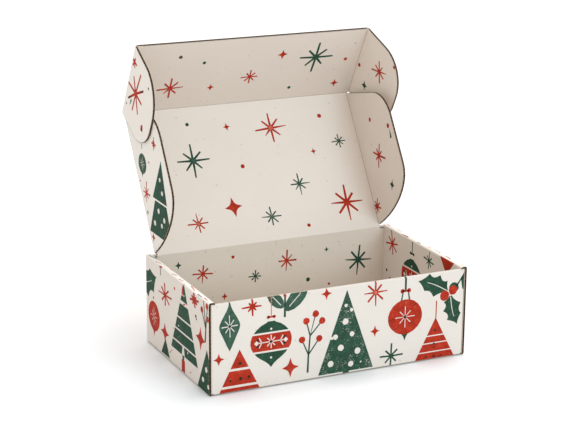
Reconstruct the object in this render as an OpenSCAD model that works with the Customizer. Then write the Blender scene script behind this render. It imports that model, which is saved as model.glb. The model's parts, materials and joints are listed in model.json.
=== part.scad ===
// Corrugated mailer box with rolled side walls and a hinged lid that tucks in
// behind the front wall. One die-cut sheet, folded. Millimetres, +Z up, front
// towards -Y, origin at the middle of the underside.

/* [Tray] */
// Outer width, side to side
body_w = 230; // [160:1:320]
// Outer depth, front to back
body_d = 136; // [115:1:220]
// Outer height of the side walls
body_h = 77; // [60:1:120]
// Length of the corner flaps held between the plies of a side wall
corner_flap = 56; // [20:1:56]
// Length of each locking tab under an inner side wall
tab_len = 22; // [12:1:30]
// Distance of each locking tab from the middle of the side
tab_offset = 34; // [18:1:38]

/* [Board] */
// Thickness of the corrugated board
board = 1.7; // [1.3:0.1:2.2]
// Thickness of each flat liner
liner = 0.25; // [0.15:0.05:0.35]
// Thickness of the wavy medium
medium = 0.22; // [0.15:0.01:0.3]
// Distance from one flute to the next
flute_pitch = 3.5; // [3:0.1:5]
// Width of the crushed band beside a crease
crease_band = 2; // [1:0.5:4]

/* [Fits] */
// Gap between folded plies that lie on each other
ply_gap = 0.15; // [0.1:0.05:0.3]
// Gap on each side of a flap that slides in beside another
flap_gap = 0.35; // [0.3:0.05:0.8]
// Gap between the tucked flap and the front wall
tuck_gap = 0.6; // [0.4:0.1:1.5]
// Gap round a locking tab in its slot
slot_gap = 0.3; // [0.2:0.05:0.6]

/* [Lid] */
// Lean of the open lid behind the upright
lid_lean = 33; // [10:1:45]
// Fold of the tuck flap out of the plane of the lid
tuck_fold = 62; // [20:1:80]

/* [Dust flaps] */
// Reach of a dust flap from its crease
dust_reach = 68; // [30:1:70]
// Length of the curve at the rear of a dust flap
dust_rear = 33; // [15:1:45]
// Length of the curve at the front of a dust flap
dust_front = 32; // [15:1:40]
// Step back of a dust flap's front edge at its outer end
dust_slant = 16; // [4:1:20]

/* [Ears] */
// Reach of an ear from its crease
ear_reach = 58; // [30:1:70]
// Share of an ear's reach taken by its rounded corners
ear_end_share = 0.53; // [0.3:0.01:0.9]
// Share of an ear's width rounded off beside the lid
ear_inner_share = 0.41; // [0.2:0.01:0.5]
// Share of an ear's width rounded off at the free edge
ear_outer_share = 0.44; // [0.2:0.01:0.5]
// Angle of the left ear out of the plane of the tuck flap
ear_left_angle = 90; // [60:1:90]
// Angle of the right ear out of the plane of the tuck flap
ear_right_angle = 80; // [60:1:90]

/* [Hidden] */

$fn = 32;
paper = "#e9e4db";
print_side = "#e4ded3";

// Relief between a flap's end and the crease next to it
relief = 0.8;
// Clearance under a tucked flap, and over the underside at the end of a tab
end_gap = 0.5;
// Angle through which the front curve of a dust flap turns
dust_turn = 65;
// Steps along each curve of a flap's outline
curve_steps = 12;
// Overlap where two shapes of one sheet join
join = 0.05;

// Side walls: outer ply, corner flap and inner ply lie against each other
outer_x = body_w / 2;
flap_x = outer_x - board - ply_gap;
inner_x = flap_x - board - ply_gap;
inside_x = inner_x - board;

// Front wall: outer ply with an inner ply rolled down behind it
front_y = -body_d / 2;
front_inner_y = front_y + board + ply_gap;
front_inside_y = front_inner_y + board;
front_h = body_h - board - ply_gap;

// Back wall: one ply, with the lid's crease along its top
back_y = body_d / 2;
back_inside_y = back_y - board;

// Creases run along the inner faces of the board
tuck_half = inside_x - flap_gap - board;
lid_half = tuck_half - flap_gap - board;
lid_crease_z = body_h - board;
lid_len = back_inside_y - board - tuck_gap - front_inside_y;
tuck_len = body_h - 2 * board - end_gap;
dust_end = lid_len - relief;

// Half the height of the medium's wave, measured to its middle
wave_half = board / 2 - liner - medium / 2 + join;
wave_run = flute_pitch / 4;
// Thickness of the medium measured straight up through its slopes
wave_wall = medium * norm([wave_run, 2 * wave_half]) / wave_run;

// Points of a quarter of an ellipse, from angle a0 to a1
function curve(cx, cy, rx, ry, a0, a1) = [
    for (i = [0:curve_steps])
        let (a = a0 + (a1 - a0) * i / curve_steps)
            [cx + rx * cos(a), cy + ry * sin(a)]
];

// Height of the medium's middle at step i, four steps to a flute: two on the
// crest, two on the trough
function wave(i) = (i % 4 < 2) ? wave_half : -wave_half;

// Cut end of the board: two liners with the wavy medium between them. It runs
// along +X and lies below Y = 0, the inner face.
module board_end(width) {
    steps = ceil(width / wave_run) + 1;
    top = [for (i = [0:steps]) [i * wave_run, wave(i) + wave_wall / 2]];
    low = [for (i = [steps:-1:0]) [i * wave_run, wave(i) - wave_wall / 2]];
    translate([0, -liner]) square([width, liner]);
    translate([0, -board]) square([width, liner]);
    intersection() {
        translate([0, -board / 2]) polygon(concat(top, low));
        translate([0, join - board]) square([width, board - 2 * join]);
    }
}

// Corrugated panel on the XY plane, under Z = 0, with the flutes along Y
module fluted_panel(width, length) {
    translate([0, length, 0])
        rotate([90, 0, 0])
            linear_extrude(length) board_end(width);
}

// Plain panel of full thickness, under Z = 0
module solid_panel(width, length) {
    translate([0, 0, -board]) cube([width, length, board]);
}

// Quarter round along the edge of a panel, in the quadrant +X -Y of the edge
module edge_round() {
    intersection() {
        circle(board);
        translate([0, -board]) square(board);
    }
    translate([-join, -board]) square([join, board]);
}

// Quarter round of a fold between a panel along -X and one along +Y
module fold_round() {
    edge_round();
    square([board, join]);
}

// Section across a side wall, seen from the front, right side: underside fold,
// outer ply, strip over the top and its fold into the inner ply
module side_wall_section() {
    translate([outer_x - board, board]) fold_round();
    translate([outer_x - board, board]) rotate(90) board_end(body_h - 2 * board);
    translate([outer_x - board, body_h - board]) rotate(90) fold_round();
    translate([inner_x, body_h - board])
        square([outer_x - board - inner_x, board]);
    translate([inner_x, body_h - board]) rotate(180) fold_round();
}

// Slots in the underside for the tabs of one inner side wall
module tab_places(gap, z0, z1) {
    for (y = [-tab_offset, tab_offset])
        translate([inside_x - gap, y - tab_len / 2 - gap, z0])
            cube([board + 2 * gap, tab_len + 2 * gap, z1 - z0]);
}

// Inner ply of a side wall with its locking tabs
module inner_side_ply() {
    low = board + ply_gap;
    front = front_inside_y + ply_gap;
    translate([inside_x, front, low])
        cube([board, back_inside_y - ply_gap - front, body_h - board - low]);
    tab_places(0, end_gap, low + join);
}

module side_wall() {
    translate([0, back_y, 0])
        rotate([90, 0, 0])
            linear_extrude(body_d) side_wall_section();
    inner_side_ply();
}

// Corner flap of the front or back wall, folded back inside the side wall.
// Drawn for a front wall's right end.
module corner_fold() {
    low = board + ply_gap;
    translate([flap_x - board, front_y + board, low])
        linear_extrude(front_h - low) fold_round();
    translate([flap_x - board, front_y + board, low])
        cube([board, corner_flap, front_h - low]);
}

// Front wall: fold up from the underside, outer ply, rolled top, inner ply
module front_wall() {
    half = flap_x - board;
    translate([half, 0, 0])
        rotate([0, -90, 0])
            linear_extrude(2 * half) {
                translate([board, front_y + board]) rotate(-90) fold_round();
                translate([board, front_y]) square([front_h - 2 * board, board]);
                translate([front_h - board, front_y + board]) fold_round();
                translate([front_h - board, front_y + board])
                    square([board, ply_gap]);
                translate([front_h - board, front_inner_y]) rotate(90) fold_round();
                translate([board + ply_gap, front_inner_y])
                    square([front_h - 2 * board - ply_gap, board]);
            }
}

// Back wall: fold up from the underside and one ply up to the lid's crease,
// bevelled so that the lid can lie back level
module back_wall() {
    half = flap_x - board;
    translate([half, 0, 0])
        rotate([0, -90, 0])
            linear_extrude(2 * half) {
                translate([board, back_inside_y]) rotate(180) fold_round();
                translate([board, back_inside_y])
                    square([lid_crease_z - 2 * board, board]);
            }
    translate([lid_half, 0, 0])
        rotate([0, -90, 0])
            linear_extrude(2 * lid_half)
                polygon([
                    [lid_crease_z - board - join, back_inside_y],
                    [lid_crease_z, back_inside_y],
                    [lid_crease_z - board, back_y],
                    [lid_crease_z - board - join, back_y]
                ]);
}

module tray() {
    color(paper) {
        difference() {
            translate([-outer_x + board, front_y + board, 0])
                cube([2 * (outer_x - board), body_d - 2 * board, board]);
            for (side = [0, 1])
                mirror([side, 0, 0]) tab_places(slot_gap, -join, board + join);
        }
        front_wall();
        back_wall();
        for (side = [0, 1])
            mirror([side, 0, 0]) {
                side_wall();
                corner_fold();
                mirror([0, 1, 0]) corner_fold();
            }
    }
}

// Places its children in the plane of the open lid: +Y up the lid from its
// crease, +Z out of its inner face
module on_lid() {
    translate([0, back_inside_y, lid_crease_z])
        rotate([90 - lid_lean, 0, 0]) children();
}

// Places its children in the plane of the tuck flap
module on_tuck() {
    on_lid() translate([0, lid_len, 0]) rotate([tuck_fold, 0, 0]) children();
}

// Lid: one panel, bevelled at its crease, with the rounded folds of the dust
// flaps along its sides
module lid() {
    color(paper) on_lid() {
        translate([lid_half, 0, 0])
            rotate([0, -90, 0])
                linear_extrude(2 * lid_half)
                    polygon([[0, 0], [0, lid_len], [-board, lid_len], [-board, board]]);
        for (side = [0, 1])
            mirror([side, 0, 0])
                translate([lid_half, dust_end, 0])
                    rotate([90, 0, 0])
                        linear_extrude(dust_end - board - relief) edge_round();
    }
}

module tuck_flap() {
    color(paper) on_tuck() translate([-tuck_half, 0, 0]) {
        fluted_panel(2 * tuck_half, tuck_len);
        solid_panel(2 * tuck_half, crease_band);
        solid_panel(crease_band, tuck_len);
        translate([2 * tuck_half - crease_band, 0, 0]) solid_panel(crease_band, tuck_len);
    }
}

// Fluted flap cut to an outline, with its crease along Y
module cut_flap(outline, reach, length) {
    intersection() {
        union() {
            fluted_panel(reach, length);
            solid_panel(crease_band, length);
        }
        translate([0, 0, -board - join])
            linear_extrude(board + 2 * join) polygon(outline);
    }
}

// Ear at one end of the tuck flap, drawn for the right end
module tuck_ear(angle) {
    width = tuck_len - relief;
    end = ear_end_share * ear_reach;
    inner = ear_inner_share * width;
    outer = ear_outer_share * width;
    outline = concat(
        [[0, relief]],
        curve(ear_reach - end, relief + inner, end, inner, -90, 0),
        curve(ear_reach - end, tuck_len - outer, end, outer, 0, 90),
        [[0, tuck_len]]
    );
    translate([tuck_half, 0, 0])
        rotate([0, -angle, 0]) cut_flap(outline, ear_reach, tuck_len);
}

module tuck_ear_left() {
    color(print_side) on_tuck() mirror([1, 0, 0]) tuck_ear(ear_left_angle);
}

module tuck_ear_right() {
    color(print_side) on_tuck() tuck_ear(ear_right_angle);
}

// Dust flap along one side of the lid, folded square to it, drawn for the
// right side
module dust_flap() {
    rear = board + relief;
    outline = concat(
        curve(0, rear + dust_rear, dust_reach, dust_rear, -90, 0),
        curve(dust_reach - dust_front, dust_end - dust_slant - dust_front,
              dust_front, dust_front, 0, dust_turn),
        [[0, dust_end]]
    );
    translate([lid_half, 0, 0])
        rotate([0, -90, 0]) cut_flap(outline, dust_reach, dust_end);
}

module dust_flap_left() {
    color(print_side) on_lid() mirror([1, 0, 0]) dust_flap();
}

module dust_flap_right() {
    color(print_side) on_lid() dust_flap();
}

tray();
lid();
tuck_flap();
tuck_ear_left();
tuck_ear_right();
dust_flap_left();
dust_flap_right();
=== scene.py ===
import json
import math
import random

import bmesh
import bpy
from mathutils import Matrix, Quaternion, Vector


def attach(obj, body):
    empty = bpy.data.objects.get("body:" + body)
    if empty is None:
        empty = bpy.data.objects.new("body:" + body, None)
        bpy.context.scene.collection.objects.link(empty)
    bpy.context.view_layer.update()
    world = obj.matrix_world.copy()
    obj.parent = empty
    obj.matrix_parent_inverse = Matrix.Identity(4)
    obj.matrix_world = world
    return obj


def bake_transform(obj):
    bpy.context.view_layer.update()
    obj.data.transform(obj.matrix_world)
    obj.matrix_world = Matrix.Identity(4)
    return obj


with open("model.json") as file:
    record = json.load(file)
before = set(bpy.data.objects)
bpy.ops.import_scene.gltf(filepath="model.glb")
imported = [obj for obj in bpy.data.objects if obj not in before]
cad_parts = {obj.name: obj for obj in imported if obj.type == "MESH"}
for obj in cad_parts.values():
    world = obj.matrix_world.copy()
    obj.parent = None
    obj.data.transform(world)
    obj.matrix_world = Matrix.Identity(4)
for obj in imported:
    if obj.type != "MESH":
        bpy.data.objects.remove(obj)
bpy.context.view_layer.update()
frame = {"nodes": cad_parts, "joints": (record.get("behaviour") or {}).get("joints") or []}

MM = 0.001

# Sizes of the folded board, in millimetres
BOARD = 1.7
PLY_GAP = 0.15
HALF_WIDTH = 115.0
HALF_DEPTH = 68.0
HEIGHT = 77.0
FRONT_TOP = HEIGHT - BOARD - PLY_GAP
INSIDE_X = HALF_WIDTH - 3 * BOARD - 2 * PLY_GAP
FRONT_INSIDE_Y = HALF_DEPTH - 2 * BOARD - PLY_GAP
BACK_INSIDE_Y = HALF_DEPTH - BOARD
CORNER_X = HALF_WIDTH - 2 * BOARD - PLY_GAP
SIDE_STRIP = BOARD + 2 * PLY_GAP
LID_HALF = 105.5
LID_LENGTH = 128.45
TUCK_HALF = 107.55
TUCK_LENGTH = 73.1
TUCK_FOLD = 62.0
EAR_REACH = 58.0
EAR_FOLD = {"left": 90.0, "right": 80.0}
DUST_REACH = 68.0
DUST_END = 127.65
RELIEF = 0.8
FLUTE_PITCH = 3.5

# A side wall unrolled, from its foot outside over its top to its foot inside
SIDE_UNROLLED = 2 * (HEIGHT - BOARD) + BOARD * math.pi + SIDE_STRIP

# Dark brown dashes on the liner beside a cut edge
EDGE_DASH_LONG = 1.0
EDGE_DASH_SLANT = 0.15
EDGE_DASH_WIDE = 0.9

# Films of ink: how far each stands on the liner, how far all go into it, and
# how far they keep from edges and creases
INK_PROUD = {
    "edge_dash": 0.03,
    "green": 0.05,
    "speckled": 0.05,
    "sage": 0.055,
    "red": 0.06,
    "rose": 0.07,
    "white": 0.08,
    "dark": 0.09,
}
INK_SUNK = 0.12
FILM_FOOT = 0.9
STRAIGHT_INSET = 0.12
ROUND_INSET = 0.35
EDGE_DASH_INSET = 0.03
CREASE_INSET = 0.4
FLOOR_INSET = 4.0

# Colours of the board and the inks
PLAIN = (1.0, 1.0, 1.0)
LINER = (0.706, 0.636, 0.568)
# Liner of the inner faces, which lie in shade: warmer than the outer one, with the warm tint of
# that shade painted in
INNER_LINER = (0.730, 0.640, 0.540)
# Paler liner on the rolled tops of the walls: a painted highlight of the light from above
PAINTED_TOP_HIGHLIGHT = (0.880, 0.820, 0.750, 1)
# Darker liner of the crease skins: painted shade in the creases
LINER_SHADE = (0.625, 0.552, 0.480)
SPECK = (0.36, 0.27, 0.19, 1)
# Colour of the painted shade along the creases
CREASE_SHADE_COLOUR = (0.27, 0.21, 0.15, 1)
KRAFT = (0.165, 0.085, 0.026)
# Painted shade in the flute mouths and hollows of a cut edge
FLUTE_SHADE = (0.010, 0.006, 0.003, 1)
KRAFT_WORN = (0.46, 0.38, 0.29, 1)
EDGE_DASH_COLOUR = (0.030, 0.013, 0.004)
INK_COLOUR = {
    "red": (0.385, 0.028, 0.012),
    "rose": (0.560, 0.140, 0.090),
    "green": (0.022, 0.064, 0.038),
    "speckled": (0.026, 0.070, 0.043),
    "sage": (0.042, 0.090, 0.060),
    "dark": (0.036, 0.023, 0.015),
}
INK_WEAR = {"red": 0.25, "rose": 0.6, "green": 0.25, "speckled": 1.4, "sage": 0.35, "dark": 0.2}

X_AXIS = Vector((1, 0, 0))
Y_AXIS = Vector((0, 1, 0))
Z_AXIS = Vector((0, 0, 1))
HERE = Matrix.Identity(4)
SIDES = ("left", "right")
SIDE_SIGN = {"left": -1, "right": 1}


def joint_place(name):
    return Vector(next(joint for joint in frame["joints"] if joint["name"] == name)["pos_m"])


def turned(way, axis, degrees):
    return Matrix.Rotation(math.radians(degrees), 3, axis) @ way


# Ways along and out of the open lid and its tuck flap
LID_CREASE = joint_place("lid_hinge")
TUCK_CREASE = joint_place("tuck_hinge")
UP_LID = (TUCK_CREASE - LID_CREASE).normalized()
OUT_OF_LID = X_AXIS.cross(UP_LID)
UP_TUCK = turned(UP_LID, X_AXIS, TUCK_FOLD)
OUT_OF_TUCK = turned(OUT_OF_LID, X_AXIS, TUCK_FOLD)


def ear_reach_way(side):
    """Way from an ear's crease to its far end."""
    fold = math.radians(EAR_FOLD[side])
    return X_AXIS * SIDE_SIGN[side] * math.cos(fold) + OUT_OF_TUCK * math.sin(fold)


def ear_inner_way(side):
    """Way out of an ear's inner face."""
    fold = math.radians(EAR_FOLD[side])
    return OUT_OF_TUCK * math.cos(fold) - X_AXIS * SIDE_SIGN[side] * math.sin(fold)


def ear_crease(side):
    return TUCK_CREASE + X_AXIS * SIDE_SIGN[side] * TUCK_HALF * MM


def dust_crease(side):
    return LID_CREASE + X_AXIS * SIDE_SIGN[side] * LID_HALF * MM


def plane_at(origin, across, up):
    """Turns millimetres across, up and out of a panel's face into its place."""
    turn = Matrix((across, up, across.cross(up))).transposed().to_4x4()
    return Matrix.Translation(origin) @ turn @ Matrix.Scale(MM, 4)


# Materials


class Shading:
    """Adds nodes to one shader tree. An input may be a value or a socket."""

    def __init__(self, tree):
        self.tree = tree

    def put(self, socket, value):
        if isinstance(value, bpy.types.NodeSocket):
            self.tree.links.new(value, socket)
        else:
            socket.default_value = value

    def put_all(self, sockets, **values):
        for key, value in values.items():
            self.put(sockets[key.replace("_", " ")], value)

    def node(self, kind, sets=None, inputs=None):
        made = self.tree.nodes.new(f"ShaderNode{kind}")
        for key, value in (sets or {}).items():
            setattr(made, key, value)
        for key, value in (inputs or {}).items():
            self.put(made.inputs[key], value)
        return made

    def group(self, group, **inputs):
        made = self.node("Group", {"node_tree": group})
        self.put_all(made.inputs, **inputs)
        return made.outputs

    def math(self, operation, *values):
        return self.node("Math", {"operation": operation}, dict(enumerate(values))).outputs[0]

    def add(self, first, second):
        return self.math("ADD", first, second)

    def less(self, first, second):
        return self.math("SUBTRACT", first, second)

    def times(self, first, second):
        return self.math("MULTIPLY", first, second)

    def over(self, first, second):
        return self.math("DIVIDE", first, second)

    def most(self, first, second):
        return self.math("MAXIMUM", first, second)

    def line(self, value, slope, start):
        return self.math("MULTIPLY_ADD", value, slope, start)

    def swing(self, value, share):
        """A noise's swing about nought, by a share."""
        return self.times(self.less(value, 0.5), share)

    def stepped(self, value, low, high, out_low=0.0, out_high=1.0):
        """Smooth step of a value from low to high."""
        limits = {"From Min": low, "From Max": high, "To Min": out_low, "To Max": out_high}
        sets = {"interpolation_type": "SMOOTHSTEP"}
        return self.node("MapRange", sets, {"Value": value, **limits}).outputs[0]

    def within(self, value, low, high, soft=0.00002):
        """One where a value lies between two limits."""
        above = self.stepped(value, low - soft, low + soft)
        return self.times(above, self.stepped(value, high - soft, high + soft, 1.0, 0.0))

    def blended(self, share, first, second, how="MIX"):
        sets = {"data_type": "RGBA", "blend_type": how}
        return self.node("Mix", sets, {0: share, 6: first, 7: second}).outputs[2]

    def mixed(self, share, low, high):
        """One value below, another above, by a share."""
        return self.node("Mix", {"data_type": "FLOAT"}, {0: share, 2: low, 3: high}).outputs[0]

    def noise(self, vector, scale, detail=2.0, roughness=0.5):
        inputs = {"Vector": vector, "Scale": scale, "Detail": detail, "Roughness": roughness}
        return self.node("TexNoise", None, inputs).outputs["Fac"]

    def vector_math(self, operation, first, second):
        return self.node("VectorMath", {"operation": operation}, {0: first, 1: second}).outputs

    def dotted(self, vector, way):
        """Length of a vector along a way."""
        return self.vector_math("DOT_PRODUCT", vector, tuple(way))["Value"]

    def parts_of(self, vector):
        return self.node("SeparateXYZ", None, {0: vector}).outputs[:3]


def new_group(name, inputs, outputs):
    """A node group with its named sockets: inputs with their kinds and values,
    outputs of which the colour is a colour and the others are numbers."""
    tree = bpy.data.node_groups.new(name, "ShaderNodeTree")
    for key, (kind, value) in inputs.items():
        kind = f"NodeSocket{kind}"
        made = tree.interface.new_socket(name=key, in_out="INPUT", socket_type=kind)
        if value is not None:
            made.default_value = value
    for key in outputs:
        kind = "NodeSocketColor" if key == "Color" else "NodeSocketFloat"
        tree.interface.new_socket(name=key, in_out="OUTPUT", socket_type=kind)
    begin, ends = tree.nodes.new("NodeGroupInput"), tree.nodes.new("NodeGroupOutput")
    return Shading(tree), begin.outputs, ends.inputs


def liner_paper_group():
    """Paper liner: fibres, faint machine streaks, clouding and a few specks."""
    inputs = {
        "Vector": ("Vector", None),
        "Tint": ("Color", (*LINER, 1)),
        "Stretch": ("Vector", PLAIN),
        "Clouding": ("Float", 0.05),
        "Streaks": ("Float", 0.04),
    }
    t, given, ends = new_group("liner_paper", inputs, ("Color", "Height", "Roughness"))
    place = given["Vector"]
    clouds = t.noise(place, 26.0, 3.0)
    fibres = t.noise(place, 1300.0, 5.0, 0.7)
    drawn = t.vector_math("MULTIPLY", place, given["Stretch"])[0]
    streaks = t.noise(drawn, 620.0, 3.0, 0.6)
    light = t.add(t.swing(clouds, given["Clouding"]), t.swing(streaks, given["Streaks"]))
    light = t.add(t.add(light, t.swing(fibres, 0.05)), 1.0)
    grey = t.node("CombineXYZ", None, dict.fromkeys(range(3), light)).outputs[0]
    shaded = t.blended(1.0, given["Tint"], grey, "MULTIPLY")
    specks = t.stepped(t.noise(place, 430.0, 0.0), 0.815, 0.85, 0.0, 0.35)
    t.put_all(
        ends,
        Color=t.blended(specks, shaded, SPECK),
        Height=t.add(t.times(fibres, 0.6), t.times(streaks, 0.5)),
        Roughness=t.line(fibres, 0.14, 0.62),
    )
    return t.tree


def cut_board_group():
    """Cut edge of the board: brown paper with the mouths of the flutes painted dark
    as shade, one at every half pitch, on either side of the medium by turns; every
    other mouth is painted lighter, as the lit flank of the medium."""
    inputs = {
        "Vector": ("Vector", None),
        "Depth": ("Float", None),
        "Along": ("Float", None),
        "Solid": ("Float", 0.0),
        "Hollow": ("Float", 0.0),
    }
    t, given, ends = new_group("cut_board", inputs, ("Color", "Height"))
    middle = t.line(given["Depth"], 1.0 / MM, BOARD / 2)
    leaning = t.line(middle, 0.5, t.over(given["Along"], FLUTE_PITCH / 2 * MM))
    cell = t.math("FLOOR", leaning)
    odd = t.math("FLOORED_MODULO", cell, 2.0)
    off_mouth = t.less(t.less(leaning, cell), 0.5)
    off_middle = t.less(middle, t.line(odd, 0.30, -0.15))
    wide = t.math("POWER", t.over(off_mouth, 0.47), 2.0)
    tall = t.math("POWER", t.over(off_middle, 0.95), 2.0)
    mouth = t.stepped(t.add(wide, tall), 0.7, 1.2, 1.0, 0.0)
    # Every other mouth lighter: painted light on one flank of the medium, shade on the other
    mouth = t.times(mouth, t.line(odd, -0.45, 1.0))
    mouth = t.times(mouth, t.less(1.0, given["Solid"]))
    # Hollows are painted fully in shade
    mouth = t.most(mouth, given["Hollow"])
    fibres = t.noise(given["Vector"], 1700.0, 4.0, 0.7)
    worn = t.noise(given["Vector"], 300.0, 2.0)
    shades = [(*[share * part for part in KRAFT], 1) for share in (0.85, 1.9)]
    brown = t.blended(t.stepped(fibres, 0.3, 0.7), *shades)
    brown = t.blended(t.stepped(worn, 0.60, 0.72, 0.0, 0.3), brown, KRAFT_WORN)
    t.put_all(
        ends,
        Color=t.blended(mouth, brown, FLUTE_SHADE),
        Height=t.less(t.times(fibres, 0.3), mouth),
    )
    return t.tree


def crease_line_group():
    """Painted shade along a crease: darker in its middle."""
    inputs = {"Distance": ("Float", None), "Half width": ("Float", 0.0006)}
    t, given, ends = new_group("crease_line", inputs, ("Mask",))
    near = t.over(t.math("ABSOLUTE", given["Distance"]), given["Half width"])
    t.put_all(ends, Mask=t.stepped(near, 0.25, 1.0, 1.0, 0.0))
    return t.tree


def worn_ink_group():
    """Letterpress ink: uneven density, and small bare flecks in clusters."""
    inputs = {
        "Vector": ("Vector", None),
        "Ink": ("Color", (0.5, 0.1, 0.1, 1)),
        "Paper": ("Color", (*LINER, 1)),
        "Wear": ("Float", 0.5),
    }
    t, given, ends = new_group("worn_ink", inputs, ("Color", "Height", "Roughness"))
    density = t.noise(given["Vector"], 230.0, 4.0, 0.6)
    clusters = t.noise(given["Vector"], 75.0, 3.0, 0.6)
    flecks = t.noise(given["Vector"], 1150.0, 2.0, 0.5)
    limit = t.line(t.stepped(clusters, 0.38, 0.66), -0.13, 0.78)
    limit = t.less(limit, t.times(given["Wear"], 0.075))
    bare = t.stepped(t.less(flecks, limit), 0.0, 0.10, 0.0, 0.62)
    shares = [(*[share] * 3, 1) for share in (0.86, 1.22)]
    deep, light = (t.blended(1.0, given["Ink"], share, "MULTIPLY") for share in shares)
    tone = t.blended(t.stepped(density, 0.34, 0.68), deep, light)
    tone = t.blended(t.stepped(density, 0.60, 0.85, 0.0, 0.07), tone, given["Paper"])
    t.put_all(
        ends,
        Color=t.blended(bare, tone, given["Paper"]),
        Height=t.less(t.times(density, 0.4), bare),
        Roughness=t.line(density, 0.2, 0.52),
    )
    return t.tree


def tinted(color, shares):
    return (*[part * share for part, share in zip(color, shares)], 1)


LINER_PAPER = liner_paper_group()
CUT_BOARD = cut_board_group()
CREASE_LINE = crease_line_group()
WORN_INK = worn_ink_group()
PAPER_BUMP = 0.00006
INK_BUMP = 0.00004


def new_material(name, specular, sheen=0.0):
    material = bpy.data.materials.new(name)
    material.use_nodes = True
    t = Shading(material.node_tree)
    shader = t.tree.nodes["Principled BSDF"].inputs
    shader["Specular IOR Level"].default_value = specular
    shader["Sheen Weight"].default_value = sheen
    return material, t, shader, t.node("TexCoord").outputs["Object"]


def finish_surface(t, shader, color, rough, height, depth):
    sets = {"Height": height, "Strength": 0.35, "Distance": depth}
    bump = t.node("Bump", None, sets).outputs[0]
    t.put_all(shader, Base_Color=color, Roughness=rough, Normal=bump)


def painted_top_highlight(t, place):
    """One on the rolled tops of the walls, where a highlight is painted on the liner."""
    rise = t.parts_of(place)[2]
    return t.within(rise, (HEIGHT - BOARD / 2) * MM, (HEIGHT + 1.0) * MM, 0.0007)


def board_material(name, outside, inside, stretch, raw_and_along, creases, pressed=(0.0006, 0.45)):
    """Board: white liner outside, a painted highlight on the rolled tops, a warmer
    one inside in painted shade, cut board where it is raw, painted shade at its creases."""
    material, t, shader, place = new_material(name, 0.28, 0.05)
    raw, depth, along, solid, hollow, inner = raw_and_along(t, place)
    # Painted highlight on the rolled tops of the walls
    outer_tint = t.blended(painted_top_highlight(t, place), tinted(LINER, outside), PAINTED_TOP_HIGHLIGHT)
    tint = t.blended(inner, outer_tint, tinted(INNER_LINER, inside))
    paper = t.group(LINER_PAPER, Vector=place, Stretch=stretch, Tint=tint)
    cut = t.group(CUT_BOARD, Vector=place, Depth=depth, Along=along, Solid=solid, Hollow=hollow)
    color = paper["Color"]
    for distance in creases(t, place):
        # Painted shade along each crease, of the half width and strength given in pressed
        line = t.group(CREASE_LINE, Distance=distance, Half_width=pressed[0])
        color = t.blended(t.times(line["Mask"], pressed[1]), color, CREASE_SHADE_COLOUR)
    color = t.blended(raw, color, cut["Color"])
    height = t.mixed(raw, paper["Height"], cut["Height"])
    rough = t.most(paper["Roughness"], t.times(raw, 0.9))
    finish_surface(t, shader, color, rough, height, PAPER_BUMP)
    return material


def flap_raw(origin, out, reach_way, along_way, reach=0.0, middle=0.0):
    """Raw edge of a flat fluted flap: whatever lies between its two faces. The
    flute mouths are counted along the edge, also where it rounds back."""

    def raw_and_along(t, place):
        local = t.vector_math("SUBTRACT", place, tuple(origin))[0]
        depth = t.dotted(local, out)
        raw = t.within(depth, -(BOARD - 0.04) * MM, -0.04 * MM)
        along = t.dotted(local, along_way)
        if reach:
            back = t.less(reach * MM, t.dotted(local, reach_way))
            half = t.line(t.math("GREATER_THAN", along, middle * MM), 2.0, -1.0)
            along = t.line(back, half, along)
        inner = t.math("GREATER_THAN", depth, -BOARD / 2 * MM)
        return raw, depth, along, 0.0, 0.0, inner

    return raw_and_along


def lines_at(*planes):
    """Distances from crease lines, each given by a point and a way across."""

    def creases(t, place):
        return [t.less(t.dotted(place, way), Vector(point).dot(way)) for point, way in planes]

    return creases


def tray_raw(t, place):
    """Raw ends of the side walls, and the hollows of their outer plies, painted dark as shade."""
    x, y, z = t.parts_of(place)
    across, deep = t.math("ABSOLUTE", x), t.math("ABSOLUTE", y)
    ply_back = HALF_WIDTH - BOARD
    ply_top = HEIGHT - BOARD
    at_end = t.stepped(deep, (HALF_DEPTH - 0.03) * MM, (HALF_DEPTH - 0.01) * MM)
    outer_ply = t.within(across, (ply_back + 0.03) * MM, (HALF_WIDTH - 0.03) * MM)
    in_height = t.within(z, (BOARD + 0.05) * MM, (ply_top - 0.05) * MM)
    on_top = t.stepped(z, (ply_top - 0.06) * MM, (ply_top - 0.03) * MM)
    end_of_ply = t.stepped(across, (ply_back - 0.03) * MM, ply_back * MM)
    ends = t.times(at_end, t.most(end_of_ply, on_top))
    hollows = t.times(outer_ply, in_height)
    behind = t.stepped(y, (BACK_INSIDE_Y - 0.1) * MM, (BACK_INSIDE_Y + 0.1) * MM)
    top_cut = t.within(z, (ply_top - BOARD - 0.02) * MM, (FRONT_TOP + 0.02) * MM)
    facing_up = t.stepped(t.dotted(t.node("TexCoord").outputs["Normal"], Z_AXIS), 0.9, 0.95)
    back_tops = t.times(t.times(behind, top_cut), facing_up)
    raw = t.most(t.most(ends, hollows), back_tops)
    depth = t.mixed(on_top, t.less(across, HALF_WIDTH * MM), t.less(z, HEIGHT * MM))
    along = t.mixed(on_top, z, across)
    solid = t.less(1.0, at_end)
    inside = t.math("LESS_THAN", across, (INSIDE_X - 0.05) * MM)
    inside = t.times(inside, t.math("GREATER_THAN", z, (BOARD - 0.05) * MM))
    in_depth = t.within(y, -(FRONT_INSIDE_Y - 0.05) * MM, (BACK_INSIDE_Y + 0.05) * MM)
    return raw, depth, along, solid, t.times(hollows, solid), t.times(inside, in_depth)


def tray_creases(t, place):
    """Painted contact shadow beside the fold along the foot of the walls."""
    return [t.less(t.parts_of(place)[2], 0.4 * MM)]


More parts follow.
